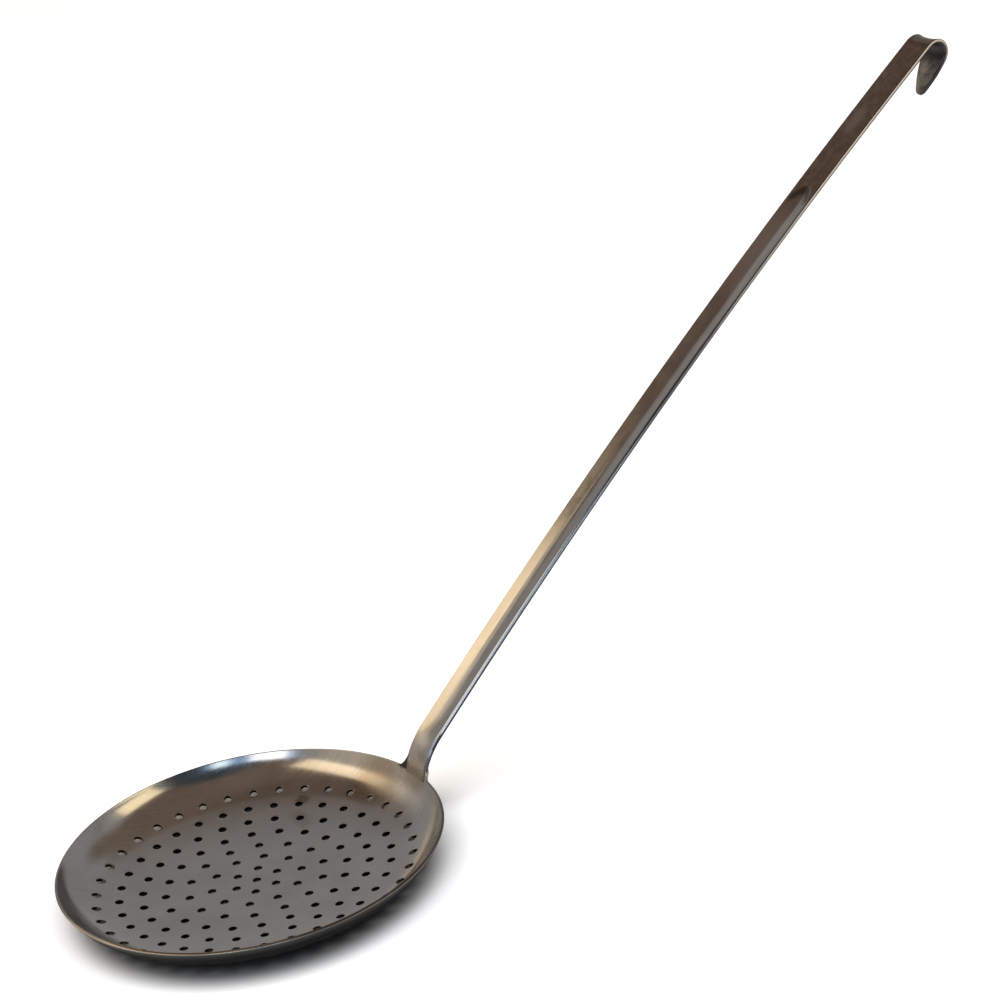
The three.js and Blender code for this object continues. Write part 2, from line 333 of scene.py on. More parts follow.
# Rings of holes, laid on the bowl's inner face and punched square to it
def rings_of_holes_tree():
    """Places in rings, dropped onto the shell and turned to its face, each cutting one hole."""
    tree = bpy.data.node_groups.new("Rings of holes", "GeometryNodeTree")
    sockets = [("Geometry", "Geometry"), ("Punch", "Object"), ("Ring Pitch", "Float")]
    rings = range(1, len(RING_COUNTS) + 1)
    for ring in rings:
        sockets += [(f"Ring {ring} Holes", "Int"), (f"Ring {ring} Turn", "Float")]
    sockets.append(("Material", "Material"))
    for label, kind in sockets:
        tree.interface.new_socket(label, in_out="INPUT", socket_type=f"NodeSocket{kind}")
    tree.interface.new_socket("Geometry", in_out="OUTPUT", socket_type="NodeSocketGeometry")
    given = tree.nodes.new("NodeGroupInput").outputs
    places = tree.nodes.new("GeometryNodeJoinGeometry")
    middle = add_node(tree, "GeometryNodePoints", {"Count": 1})
    tree.links.new(middle.outputs[0], places.inputs[0])
    for ring in rings:
        reach = calculate(tree, "MULTIPLY", given["Ring Pitch"], float(ring))
        holes = {"Vertices": given[f"Ring {ring} Holes"], "Radius": reach}
        circle = add_node(tree, "GeometryNodeMeshCircle", holes)
        angles = add_node(tree, "ShaderNodeCombineXYZ", {"Z": given[f"Ring {ring} Turn"]})
        turning = {"Geometry": circle.outputs[0], "Rotation": angles.outputs[0]}
        turned = add_node(tree, "GeometryNodeTransform", turning)
        tree.links.new(turned.outputs[0], places.inputs[0])
    here = tree.nodes.new("GeometryNodeInputPosition").outputs[0]
    above = vector_math(tree, "ADD", here, (0, 0, 1))
    aim = {"Target Geometry": given["Geometry"], "Source Position": above, "Ray Direction": (0, 0, -1)}
    hit = add_node(tree, "GeometryNodeRaycast", aim).outputs
    seat = {"Geometry": places.outputs[0], "Position": hit["Hit Position"]}
    seated = add_node(tree, "GeometryNodeSetPosition", seat)
    facing = {"Vector": hit["Hit Normal"]}
    upright = add_node(tree, "FunctionNodeAlignRotationToVector", facing, axis="Z")
    punch = add_node(tree, "GeometryNodeObjectInfo", {"Object": given["Punch"], "As Instance": True})
    placing = {"Points": seated.outputs[0], "Instance": punch.outputs["Geometry"]}
    placing["Rotation"] = upright.outputs[0]
    punches = add_node(tree, "GeometryNodeInstanceOnPoints", placing)
    cutters = add_node(tree, "GeometryNodeRealizeInstances", {"Geometry": punches.outputs[0]})
    cut = add_node(tree, "GeometryNodeMeshBoolean", operation="DIFFERENCE", solver="MANIFOLD")
    tree.links.new(given["Geometry"], cut.inputs["Mesh 1"])
    tree.links.new(cutters.outputs[0], cut.inputs["Mesh 2"])
    whole = add_node(tree, "GeometryNodeRealizeInstances", {"Geometry": cut.outputs["Mesh"]})
    coating = {"Geometry": whole.outputs[0], "Material": given["Material"]}
    steel = add_node(tree, "GeometryNodeSetMaterial", coating)
    result = tree.nodes.new("NodeGroupOutput")
    tree.links.new(steel.outputs[0], result.inputs[0])
    return tree


def punch_profile():
    """One punch, with the sheet's inner face at height 0 and a small rolled lip there."""
    lip = arc((HOLE_RADIUS + HOLE_LIP, -HOLE_LIP), HOLE_LIP, math.pi / 2, math.pi, LIP_STEPS)
    flange = HOLE_RADIUS + HOLE_LIP + PUNCH_FLANGE
    top = [(0.0, PUNCH_ABOVE), (flange, PUNCH_ABOVE), (flange, PUNCH_FLANGE_GAP)]
    return top + lip + [(HOLE_RADIUS, -PUNCH_BELOW), (0.0, -PUNCH_BELOW)]


def build_bowl(material):
    shell = make_object("shell", *lathe(bowl_profile(), BOWL_SEGMENTS))
    punch = make_object("punch", *lathe(punch_profile(), HOLE_SIDES))
    tree = rings_of_holes_tree()
    pitch = (RIM_RADIUS - OUTER_RING_INSET) / len(RING_COUNTS)
    values = {"Punch": punch, "Ring Pitch": pitch * MM, "Material": material}
    for ring, (count, turn) in enumerate(zip(RING_COUNTS, RING_TURNS), 1):
        values[f"Ring {ring} Holes"] = count
        values[f"Ring {ring} Turn"] = math.radians(turn)
    modifier = shell.modifiers.new("Rings of holes", "NODES")
    modifier.node_group = tree
    for item in tree.interface.items_tree:
        if item.in_out == "INPUT" and item.name in values:
            modifier[item.identifier] = values[item.name]
    bpy.context.view_layer.update()
    whole = shell.evaluated_get(bpy.context.evaluated_depsgraph_get())
    mesh = bpy.data.meshes.new_from_object(whole)
    bpy.data.objects.remove(shell)
    bpy.data.objects.remove(punch)
    points = mesh_points(mesh)
    radii = np.hypot(points[:, 0], points[:, 1])
    store_values(mesh, "depth", [sheet_depth(r, z) for r, z in zip(radii, points[:, 2])])
    mesh.transform(Matrix.Translation((AXIS_X * MM, 0, 0)))
    smooth_with_creases(mesh, BOWL_CREASE)
    made = bpy.data.objects.new("bowl_shell", mesh)
    bpy.context.scene.collection.objects.link(made)
    return made


def sheet_depth(radius, height):
    """How far through the sheet a point lies: 0 on the inside, 1 on the outside."""
    foot = radius
    for _ in range(6):
        inner, slope = inside_at(min(foot, rim_inner))
        drop = (inner - height) * math.cos(slope) + (radius - min(foot, rim_inner)) * math.sin(slope)
        foot = radius - drop * math.sin(slope)
    return min(1.0, max(0.0, drop / SHEET))


# Handle: the line of the strip's front face in the XZ plane, from the rim to the tip of the hook
neck_turn = math.radians(NECK_ANGLE - SHANK_ANGLE)
hook_turn = math.radians(HOOK_TURN)
hook_reach = hook_turn * (HOOK_RADIUS + STRIP_THICKNESS)
neck_length = neck_turn * NECK_RADIUS
legs = (
    (neck_length, neck_turn),
    (SHANK_LENGTH, SHANK_LENGTH / SHANK_BOW_RADIUS),
    (hook_reach, hook_turn),
    (TONGUE_LENGTH, 0.0),
)
hook_from = neck_length + SHANK_LENGTH
tongue_from = hook_from + hook_reach
tip_at = tongue_from + TONGUE_LENGTH
groove_half = STRIP_WIDTH / 2 - GROOVE_MARGIN
groove_to = GROOVE_START + GROOVE_LENGTH
nose_from = groove_to - GROOVE_NOSE


def front_at(distance):
    """Point on the strip's front line, the way along it and the way out of its front."""
    x = AXIS_X + rim_inner - NECK_INSET
    z = RIM_Z + WELD_ROOT
    angle = math.radians(NECK_ANGLE)
    left = distance
    for length, turn in legs:
        run = min(left, length)
        end = angle - turn * run / length
        if turn == 0:
            x += run * math.cos(angle)
            z += run * math.sin(angle)
        else:
            radius = length / turn
            x += radius * (math.sin(angle) - math.sin(end))
            z += radius * (math.cos(end) - math.cos(angle))
        angle = end
        left -= run
    along = np.array([math.cos(angle), 0.0, math.sin(angle)])
    front = np.array([-math.sin(angle), 0.0, math.cos(angle)])
    return np.array([x, 0.0, z]) + min(0.0, distance) * along, along, front


def smooth_step(value, low, high):
    share = min(1.0, max(0.0, (value - low) / (high - low)))
    return share * share * (3 - 2 * share)


def half_width_at(distance):
    tip_half = TONGUE_TIP_WIDTH / 2
    share = min(1.0, max(0.0, (distance - tongue_from) / TONGUE_LENGTH))
    half = STRIP_WIDTH / 2 + (tip_half - STRIP_WIDTH / 2) * share
    half += TONGUE_BULGE * math.sin(math.pi * share)
    past = max(0.0, distance - (tip_at - tip_half)) / tip_half
    return half * math.sqrt(max(TIP_LEAST, 1 - past * past))


def strip_section(distance):
    """One ring of the strip: across its front, round the edge and back across its back."""
    point, _, front = front_at(distance)
    half = half_width_at(distance)
    depth = GROOVE_DEPTH * smooth_step(distance, GROOVE_START, GROOVE_START + GROOVE_FADE)
    into_nose = max(0.0, distance - nose_from) / GROOVE_NOSE
    rolled = min(1.0, max(0.0, (distance - hook_from) / hook_reach))
    saddle = HOOK_SADDLE * math.sin(math.pi * rolled) ** 2
    worn = WORN_EDGE + (STRIP_EDGE - WORN_EDGE) * smooth_step(distance, *WORN_EDGE_ENDS)
    left = bevel(half, min(STRIP_EDGE, half / 2))
    right = mirrored(bevel(half, min(worn, half / 2)))
    front_row = left + level_row(left[-1][0], right[0][0]) + right
    corner = bevel(half, min(BACK_EDGE, half / 2))
    rear = corner + level_row(corner[-1][0], -corner[-1][0]) + mirrored(corner)
    back_row = [(y, STRIP_THICKNESS - below) for y, below in reversed(rear)]
    ring = []
    for y, below in front_row + back_row:
        apart = (y / groove_half) ** 2 + into_nose ** 2
        sink = depth * max(0.0, 1 - apart) - saddle * (y / half) ** 2
        ring.append(point - (below + sink) * front + np.array([0.0, y, 0.0]))
    through = [below / STRIP_THICKNESS for y, below in front_row + back_row]
    return np.array(ring), through


def bevel(half, size):
    """A worn corner from the strip's side up to its front: width and depth pairs."""
    shares = np.linspace(0, 1, CORNER_POINTS)
    bow = CORNER_BOW * size * np.sin(math.pi * shares)
    return [(half - size * t + b, size * (1 - t) - b) for t, b in zip(shares, bow)]


def mirrored(corner):
    return [(-y, below) for y, below in reversed(corner)]


def level_row(start, end):
    """Evenly spaced places across a face, between the ends of its two corners."""
    return [(y, 0.0) for y in np.linspace(start, end, ROW_POINTS)[1:-1]]


def build_handle():
    tip_round_from = tip_at - TONGUE_TIP_WIDTH / 2
    stops = np.concatenate([
        np.arange(-FOOT_SUNK, GROOVE_START + GROOVE_FADE, FOOT_STEP),
        np.arange(GROOVE_START + GROOVE_FADE, nose_from, SHANK_STEP),
        np.arange(nose_from, groove_to + NOSE_OVERRUN, NOSE_STEP),
        np.arange(groove_to + UPPER_GAP, hook_from, UPPER_STEP),
        np.linspace(hook_from, tongue_from, HOOK_STEPS, endpoint=False),
        np.arange(tongue_from, tip_round_from, TONGUE_STEP),
        tip_at - TONGUE_TIP_WIDTH / 2 * (1 - np.sin(np.linspace(0, math.pi / 2, TIP_STEPS))),
    ])
    sections = [strip_section(stop) for stop in stops]
    rings = [ring for ring, _ in sections]
    made = make_object("handle_strip", *loft(rings))
    store_values(made.data, "along", np.repeat(stops, len(rings[0])))
    store_values(made.data, "across", np.concatenate([ring[:, 1] for ring in rings]))
    store_values(made.data, "through", np.concatenate([through for _, through in sections]))
    smooth_with_creases(made.data, HANDLE_CREASE)
    return made


# Weld: sections across the joint, each a smooth line up the front and a fuller one down the back
def bend_through(controls, steps):
    """Points of a cubic curve over four controls."""
    t = np.linspace(0, 1, steps + 1)[:, None]
    a, b, c, d = (np.array(p) for p in controls)
    return (1 - t) ** 3 * a + 3 * t * (1 - t) ** 2 * b + 3 * t * t * (1 - t) * c + t ** 3 * d


def wall_point(y, below, proud, outer):
    """A point on the bowl's wall in the section at y, below the rim's edge and proud of the face."""
    radius = rim_inner - below * math.cos(rim_slope)
    height = RIM_Z - below * math.sin(rim_slope)
    through = -proud
    if outer:
        through = SHEET + proud
    radius += through * math.sin(rim_slope)
    height -= through * math.cos(rim_slope)
    return np.array([AXIS_X + math.sqrt(radius ** 2 - y ** 2), y, height])


def strip_point(y, distance, below):
    point, _, front = front_at(distance)
    return point - below * front + np.array([0.0, y, 0.0])


def weld_section(y):
    half = STRIP_WIDTH / 2
    width, height = LEFT_TOE if y > 0 else RIGHT_TOE
    share = max(0.0, abs(y) - (half - TOE_OVERLAP)) / (width + TOE_OVERLAP)
    climb = (1 - min(1.0, share)) ** TOE_HOLLOW
    ripple = sum(size * math.sin(waves * y + start) for size, waves, start in WELD_RIPPLES)
    front_top = strip_point(y, WELD_FRONT_REACH, WELD_SINK)
    back_top = strip_point(y, WELD_BACK_REACH, STRIP_THICKNESS - WELD_SINK)
    if share > 0:
        front_top = strip_point(y, height, STRIP_EDGE)
        back_top = strip_point(y, height, STRIP_THICKNESS - BACK_EDGE)
    low_front = wall_point(y, -ROOT_ABOVE, -ROOT_SINK, False)
    low_back = wall_point(y, -ROOT_ABOVE, -ROOT_SINK, True)
    front_top = low_front + (front_top - low_front) * climb
    back_top = low_back + (back_top - low_back) * climb
    front_foot = wall_point(y, FRONT_FOOT * climb + FRONT_FOOT_LEAST, -WELD_SINK, False)
    back_foot = wall_point(y, BACK_FOOT * climb + BACK_FOOT_LEAST, -WELD_SINK, True)
    front_low = wall_point(y, FRONT_LOW * climb, (FRONT_BULGE + ripple) * climb, False)
    front_high = front_low + (front_top - front_low) * WELD_BEND
    back_low = wall_point(y, BACK_LOW * climb, (WELD_BULGE + ripple) * climb, True)
    back_high = back_low + (back_top - back_low) * WELD_BEND + np.array(BACK_SAG) * climb
    face = bend_through((front_foot, front_low, front_high, front_top), WELD_STEPS)
    back = bend_through((back_top, back_high, back_low, back_foot), WELD_STEPS)
    return np.concatenate([face, back])


def build_weld():
    inner = STRIP_WIDTH / 2 - TOE_OVERLAP
    right_end = -STRIP_WIDTH / 2 - RIGHT_TOE[0]
    left_end = STRIP_WIDTH / 2 + LEFT_TOE[0]
    stops = np.concatenate([
        np.linspace(right_end, -inner, RIGHT_TOE_SECTIONS, endpoint=False),
        np.linspace(-inner, inner, WELD_SECTIONS, endpoint=False),
        np.linspace(inner, left_end, LEFT_TOE_SECTIONS),
    ])
    made = make_object("weld_metal", *loft([weld_section(y) for y in stops]))
    smooth_with_creases(made.data, WELD_CREASE)
    return made


# Shared looks. Each group gives a mask, a value or a normal.
def look_group(name, inputs, outputs):
    group = bpy.data.node_groups.new(name, "ShaderNodeTree")
    for label, kind, value in inputs:
        socket = group.interface.new_socket(label, in_out="INPUT", socket_type=kind)
        socket.default_value = value
    for label, kind in outputs:
        group.interface.new_socket(label, in_out="OUTPUT", socket_type=kind)
    given = group.nodes.new("NodeGroupInput").outputs
    result = group.nodes.new("NodeGroupOutput").inputs
    return group, given, result


def brushing_group():
    """Fine lines along local X: a value around 0.5."""
    inputs = [
        ("Vector", "NodeSocketVector", (0, 0, 0)),
        ("Turn", "NodeSocketFloat", 0.0),
        ("Line Spacing", "NodeSocketFloat", 0.4 * MM),
        ("Line Length", "NodeSocketFloat", 25 * MM),
    ]
    group, given, result = look_group("Brushing", inputs, [("Lines", "NodeSocketFloat")])
    turning = {"Vector": given["Vector"], "Angle": given["Turn"]}
    spin = add_node(group, "ShaderNodeVectorRotate", turning, rotation_type="Z_AXIS")
    across = calculate(group, "DIVIDE", 1.0, given["Line Spacing"])
    along = calculate(group, "DIVIDE", 1.0, given["Line Length"])
    stretch = add_node(group, "ShaderNodeCombineXYZ", {"X": along, "Y": across, "Z": along})
    spread = vector_math(group, "MULTIPLY", spin.outputs[0], stretch.outputs[0])
    noise = add_node(group, "ShaderNodeTexNoise", {"Vector": spread, "Scale": 1.0, "Detail": 3.0})
    group.links.new(noise.outputs[0], result["Lines"])
    return group


def cloud_group():
    """Soft uneven patches, 0 to 1."""
    inputs = [
        ("Vector", "NodeSocketVector", (0, 0, 0)),
        ("Patch Size", "NodeSocketFloat", 20 * MM),
    ]
    group, given, result = look_group("Clouding", inputs, [("Patches", "NodeSocketFloat")])
    scale = calculate(group, "DIVIDE", 1.0, given["Patch Size"])
    pattern = {"Vector": given["Vector"], "Scale": scale, "Detail": 4.0, "Roughness": 0.6}
    noise = add_node(group, "ShaderNodeTexNoise", pattern)
    group.links.new(ramp(group, noise.outputs[0], 0.3, 0.7), result["Patches"])
    return group


def spot_group():
    """One uneven stain about a place: 1 in its middle and 0 outside."""
    inputs = [
        ("Vector", "NodeSocketVector", (0, 0, 0)),
        ("Place", "NodeSocketVector", (0, 0, 0)),
        ("Stretch", "NodeSocketVector", (1, 1, 1)),
        ("Size", "NodeSocketFloat", 5 * MM),
        ("Raggedness", "NodeSocketFloat", 0.5),
    ]
    group, given, result = look_group("Stain", inputs, [("Mask", "NodeSocketFloat")])
    apart = vector_math(group, "SUBTRACT", given["Vector"], given["Place"])
    shaped = vector_math(group, "DIVIDE", apart, given["Stretch"])
    reach = calculate(group, "DIVIDE", vector_math(group, "LENGTH", shaped), given["Size"])
    pattern = {"Vector": given["Vector"], "Scale": 700.0, "Detail": 3.0}
    noise = add_node(group, "ShaderNodeTexNoise", pattern)
    centred = calculate(group, "SUBTRACT", noise.outputs[0], 0.5)
    wander = calculate(group, "MULTIPLY", centred, given["Raggedness"])
    mask = ramp(group, calculate(group, "ADD", reach, wander), 1.0, 0.35)
    group.links.new(mask, result["Mask"])
    return group


LOOKS = {"brushing": brushing_group(), "cloud": cloud_group(), "stain": spot_group()}


def use_look(tree, name, **inputs):
    made = add_node(tree, "ShaderNodeGroup", node_tree=LOOKS[name])
    for label, value in inputs.items():
        socket = made.inputs[label.replace("_", " ").title()]
        if isinstance(value, bpy.types.NodeSocket):
            tree.links.new(value, socket)
        else:
            socket.default_value = value
    return made.outputs[0]


def new_steel(name):
    """A bare metal material, its tree, its Principled node and places in the part's frame."""
    material = bpy.data.materials.new(name)
    material.use_nodes = True
    tree = material.node_tree
    principled = tree.nodes["Principled BSDF"]
    principled.inputs["Metallic"].default_value = 1.0
    place = add_node(tree, "ShaderNodeTexCoord").outputs["Object"]
    return material, tree, principled, place


def read_value(tree, name):
    return add_node(tree, "ShaderNodeAttribute", attribute_name=name).outputs["Fac"]


def frame_point(x, y, z):
    """A place given from the bowl's axis and the rim, in millimetres, as a point of the frame."""
    return ((AXIS_X + x) * MM, y * MM, (RIM_Z + z) * MM)


RELIEF_DEPTH = 0.02


def uneven(tree, colour, clouds, cloudy, lines, lined):
    """A colour made lighter and darker by its clouding and brushing."""
    shade = calculate(tree, "MULTIPLY_ADD", clouds, *cloudy)
    shade = calculate(tree, "MULTIPLY", shade, calculate(tree, "MULTIPLY_ADD", lines, *lined))
    return mix_colour(tree, 1.0, colour, grey(tree, shade), blend="MULTIPLY")


def uneven_polish(tree, polish, clouds, cloudy, lines, lined):
    polish = calculate(tree, "MULTIPLY_ADD", clouds, cloudy, polish)
    return calculate(tree, "MULTIPLY_ADD", lines, lined, polish)


def finish_steel(tree, principled, colour, roughness, height, strength):
    """Colour, roughness and a fine relief."""
    tree.links.new(colour, principled.inputs["Base Color"])
    tree.links.new(roughness, principled.inputs["Roughness"])
    relief = {"Height": height, "Strength": strength, "Distance": RELIEF_DEPTH * MM}
    tree.links.new(add_node(tree, "ShaderNodeBump", relief).outputs[0], principled.inputs["Normal"])


# Colours of the steel, the stains and the soot, and of painted light and shade
BOWL_INSIDE = (0.54, 0.532, 0.52)
# Painted shade: the bowl's outside is the same steel, made dark as if in shadow
BOWL_OUTSIDE_SHADE = (0.11, 0.11, 0.11)
BOWL_EDGE = (0.45, 0.405, 0.345)
# Painted shade inside the rim across from the handle
RIM_SHADE_COLOUR = (0.25, 0.24, 0.23)
# Painted shade on the rim's cut edge by the handle
RIM_EDGE_SHADE = (0.2, 0.185, 0.165)
HANDLE_STEEL = (0.54, 0.516, 0.486)
HANDLE_BROWN = (0.46, 0.37, 0.295)
PALE_STEEL = (0.72, 0.72, 0.72)
# Painted light and shade on the strip's narrow sides: a bluish painted reflection, a painted highlight and
# lit and shaded side colours
BLUE_REFLECTION = (0.46, 0.54, 0.72)
WORN_CORNER_SHEEN = (0.56, 0.545, 0.53)
SIDE_FOOT = (0.28, 0.27, 0.26)
SIDE_LOW = (0.09, 0.093, 0.096)
SIDE_HIGH = (0.44, 0.38, 0.315)
SIDE_HOOK = (0.14, 0.13, 0.12)
SIDE_BACK = (0.04, 0.038, 0.036)
SIDE_CORNER = (0.09, 0.085, 0.08)
# Painted shade on the back face inside the hook, speckled paler, darkest in the curl
HOOK_INSIDE_SHADE = (0.11, 0.104, 0.098)
HOOK_PALE = (0.32, 0.305, 0.29)
HOOK_CURL_SHADE = (0.045, 0.043, 0.04)
BROWN_STAIN_AND_SHADE = (0.17, 0.12, 0.084)
HEAT_TINT = (0.36, 0.3, 0.24)
WELD_STEEL = (0.48, 0.43, 0.37)
# Soot on the weld and the scorch mark, and also the colour of painted shade in the holes, on the strip's
# edge and at the groove's end
SOOT_AND_SHADE = (0.03, 0.026, 0.022)


# Bowl looks. Pairs are a smooth step's two ends, in millimetres from the axis or shares of the sheet.
BRUSHING_TURN = 8.0
BOWL_PATCH = 24.0
BOWL_CLOUDING = (0.16, 0.9)
BOWL_LINES = (0.3, 0.85)
BOWL_ROUGHENED = (0.05, 0.08)
BOWL_RELIEF = 0.2
POLISH_ENDS = (60.0, 70.0)
BOWL_POLISH = (0.2, 0.1)
OUTSIDE_FROM = (0.6, 1.0)
CUT_RISE = (0.01, 0.08)
CUT_FALL = (0.99, 0.9)
RIM_EDGE_BELOW = (1.6, 1.0)
# Where the rim's edge takes its painted shade
RIM_EDGE_SHADE_X = (-45.0, 0.0)
RIM_EDGE_SHADE_Y = (10.0, -10.0)
# Share of painted shade, in the soot colour, on the hole walls
HOLE_SHADE = 0.95
# Where the painted shade inside the rim lies
RIM_SHADE_LEAN = -0.15
RIM_SHADE_REACH = (69.5, 72.5)
RIM_SHADE_X = (-50.0, -58.0)
RIM_SHADE_Y = (50.0, 42.0)
# Each stain: place from the axis and the rim in millimetres, stretch, size, raggedness, share
BOWL_STAINS = {
    "tint": ((79.5, 0.5, 0.5), (1.0, 1.0, 1.0), 13.0, 0.5, 0.7),
    "dulled": ((69.0, 20.0, -8.0), (1.0, 1.0, 1.0), 17.0, 0.4, 0.8),
    "scorch": ((78.3, 11.0, 0.0), (1.0, 1.8, 1.0), 2.0, 0.6, 0.9),
    "drip": ((43.0, 40.0, -13.0), (1.0, 1.3, 1.0), 4.0, 0.9, 0.6),
    "smear": ((36.0, 29.0, -15.0), (1.0, 2.2, 1.0), 5.0, 0.9, 0.25),
    "ground": ((78.0, 0.0, 0.0), (1.0, 1.0, 1.0), 36.0, 0.0, 0.14),
}


def bowl_stain(tree, place, name):
    """The mask of one of the bowl's stains, times its share."""
    spot, stretch, size, raggedness, share = BOWL_STAINS[name]
    shape = {"place": frame_point(*spot), "stretch": stretch, "size": size * MM}
    mask = use_look(tree, "stain", vector=place, raggedness=raggedness, **shape)
    return calculate(tree, "MULTIPLY", mask, share)


def bowl_material():
    material, tree, principled, place = new_steel("bowl_steel")
    depth = read_value(tree, "depth")
    lines = use_look(tree, "brushing", vector=place, turn=math.radians(BRUSHING_TURN))
    clouds = use_look(tree, "cloud", vector=place, patch_size=BOWL_PATCH * MM)
    from_axis = vector_math(tree, "SUBTRACT", place, (AXIS_X * MM, 0, 0))
    radius = vector_math(tree, "LENGTH", vector_math(tree, "MULTIPLY", from_axis, (1, 1, 0)))
    radius = calculate(tree, "DIVIDE", radius, MM)
    colour = mix_colour(tree, rim_shade(tree, from_axis, radius), BOWL_INSIDE, RIM_SHADE_COLOUR)
    # painted shade over the sheet's outer face
    colour = mix_colour(tree, ramp(tree, depth, *OUTSIDE_FROM), colour, BOWL_OUTSIDE_SHADE)
    cut = band(tree, depth, CUT_RISE, CUT_FALL)
    at_rim, edge = rim_edge_look(tree, place, from_axis)
    colour = mix_colour(tree, calculate(tree, "MULTIPLY", cut, at_rim), colour, edge)
    # painted shade on the hole walls
    in_hole = calculate(tree, "MULTIPLY", cut, calculate(tree, "SUBTRACT", 1.0, at_rim))
    colour = stained(tree, colour, in_hole, HOLE_SHADE, SOOT_AND_SHADE)
    colour = uneven(tree, colour, clouds, BOWL_CLOUDING, lines, BOWL_LINES)
    for name, stain in (("tint", HEAT_TINT), ("dulled", HEAT_TINT), ("scorch", SOOT_AND_SHADE)):
        colour = mix_colour(tree, bowl_stain(tree, place, name), colour, stain)
    drip, smear = (bowl_stain(tree, place, name) for name in ("drip", "smear"))
    colour = mix_colour(tree, calculate(tree, "MAXIMUM", drip, smear), colour, BROWN_STAIN_AND_SHADE)
    polish = ramp(tree, radius, *POLISH_ENDS, *BOWL_POLISH)
    polish = calculate(tree, "ADD", bowl_stain(tree, place, "ground"), polish)
    cloudy, lined = BOWL_ROUGHENED
    roughness = uneven_polish(tree, polish, clouds, cloudy, lines, lined)
    finish_steel(tree, principled, colour, roughness, lines, BOWL_RELIEF)
    return material


def rim_edge_look(tree, place, from_axis):
    """Where the rim's cut edge is, and its colour, darkened with painted shade on the side by the handle."""
    height = add_node(tree, "ShaderNodeSeparateXYZ", {0: place}).outputs["Z"]
    at = add_node(tree, "ShaderNodeSeparateXYZ", {0: from_axis}).outputs
    at_rim = ramp(tree, height, *((RIM_Z - below) * MM for below in RIM_EDGE_BELOW))
    right = ramp(tree, at["X"], *(x * MM for x in RIM_EDGE_SHADE_X))
    rim_edge_shaded = calculate(tree, "MULTIPLY", right, ramp(tree, at["Y"], *(y * MM for y in RIM_EDGE_SHADE_Y)))
    return at_rim, mix_colour(tree, rim_edge_shaded, BOWL_EDGE, RIM_EDGE_SHADE)


def rim_shade(tree, from_axis, radius):
    """A band of painted shade inside the rim across from the handle, widest at the middle."""
    at = add_node(tree, "ShaderNodeSeparateXYZ", {0: from_axis}).outputs
    y = calculate(tree, "DIVIDE", at["Y"], MM)
    reach = calculate(tree, "MULTIPLY_ADD", y, RIM_SHADE_LEAN, radius)
    across = ramp(tree, at["X"], *(x * MM for x in RIM_SHADE_X))
    far_side = calculate(tree, "MULTIPLY", across, ramp(tree, y, *RIM_SHADE_Y))
    return calculate(tree, "MULTIPLY", ramp(tree, reach, *RIM_SHADE_REACH), far_side)


# Handle looks. Pairs are a smooth step's two ends: millimetres from the strip's foot or from its middle
# line, shares of its thickness for what is through it, and millimetres past the named bend for the hook.
STRIP_LINE_SPACING = 0.5
STRIP_LINE_LENGTH = 30.0
STRIP_PATCH = 14.0
BLOTCH = 7.0
SPECKLE = 3.5
STRIP_CLOUDING = (0.14, 0.91)
STRIP_LINES = (0.2, 0.9)
STRIP_ROUGHENED = (0.06, 0.06)
STRIP_RELIEF = 0.008
FOOT_POLISH_ENDS = (25.0, 60.0)
STRIP_POLISH = (0.19, 0.1)
HOOK_ROUGHER = 0.35
BROWNED_FROM = (272.0, 304.0)
MOTTLED_FROM = (280.0, 300.0)
CROWN_FROM = (-3.0, 3.0)
SCUFF_PLACE = (333.0, 1.0, 0.0)
SCUFF_STRETCH = (2.2, 1.0, 1.0)
SCUFF_SIZE = 4.5
SCUFF_RAGGEDNESS = 1.2
PALER_SIDE_RISE = (235.0, 260.0)
PALER_SIDE_FALL = (292.0, 274.0)
PALER_SIDE_ACROSS = (-4.0, 0.0)
TINT_WANDER = 3.0
TINTED_TO = (11.0, 7.0)
HOOK_BACK = (0.9, 1.0)
HOOK_ROLLED = (2.0, 8.0)
HOOK_OPENS = (-2.0, 6.0)
# Painted shade on the strip's right edge above the weld
SIDE_SHADOW_ACROSS = (-6.7, -7.1)
SIDE_SHADOW_RISE = (10.0, 12.5)
SIDE_SHADOW_FALL = (20.5, 18.0)
SEAM_ACROSS = (-6.2, -6.9)
SEAM_TO = (11.0, 8.0)
NOTCH_ACROSS = (6.0, 6.9)
NOTCH_TO = (8.0, 6.0)
# Painted shade at the groove's upper end
NOSE_SHADE_RISE = (0.15, 0.6)
NOSE_SHADE_FALL = (1.05, 0.85)
NOSE_SHADE_FROM = (0.1, 0.5)
SHARES = {
    "browned": 0.7,
    "mottled": 0.4,
    "crown": 0.85,
    "scuffed": 0.6,
    "paler_side": 0.8,
    "tinted": 0.75,
    "side_shadow": 0.85,
    "seam": 0.5,
    "notch": 0.9,
    "nose_shade": 0.75,
}


def beyond(bend, limits):
    return (bend + limit for limit in limits)


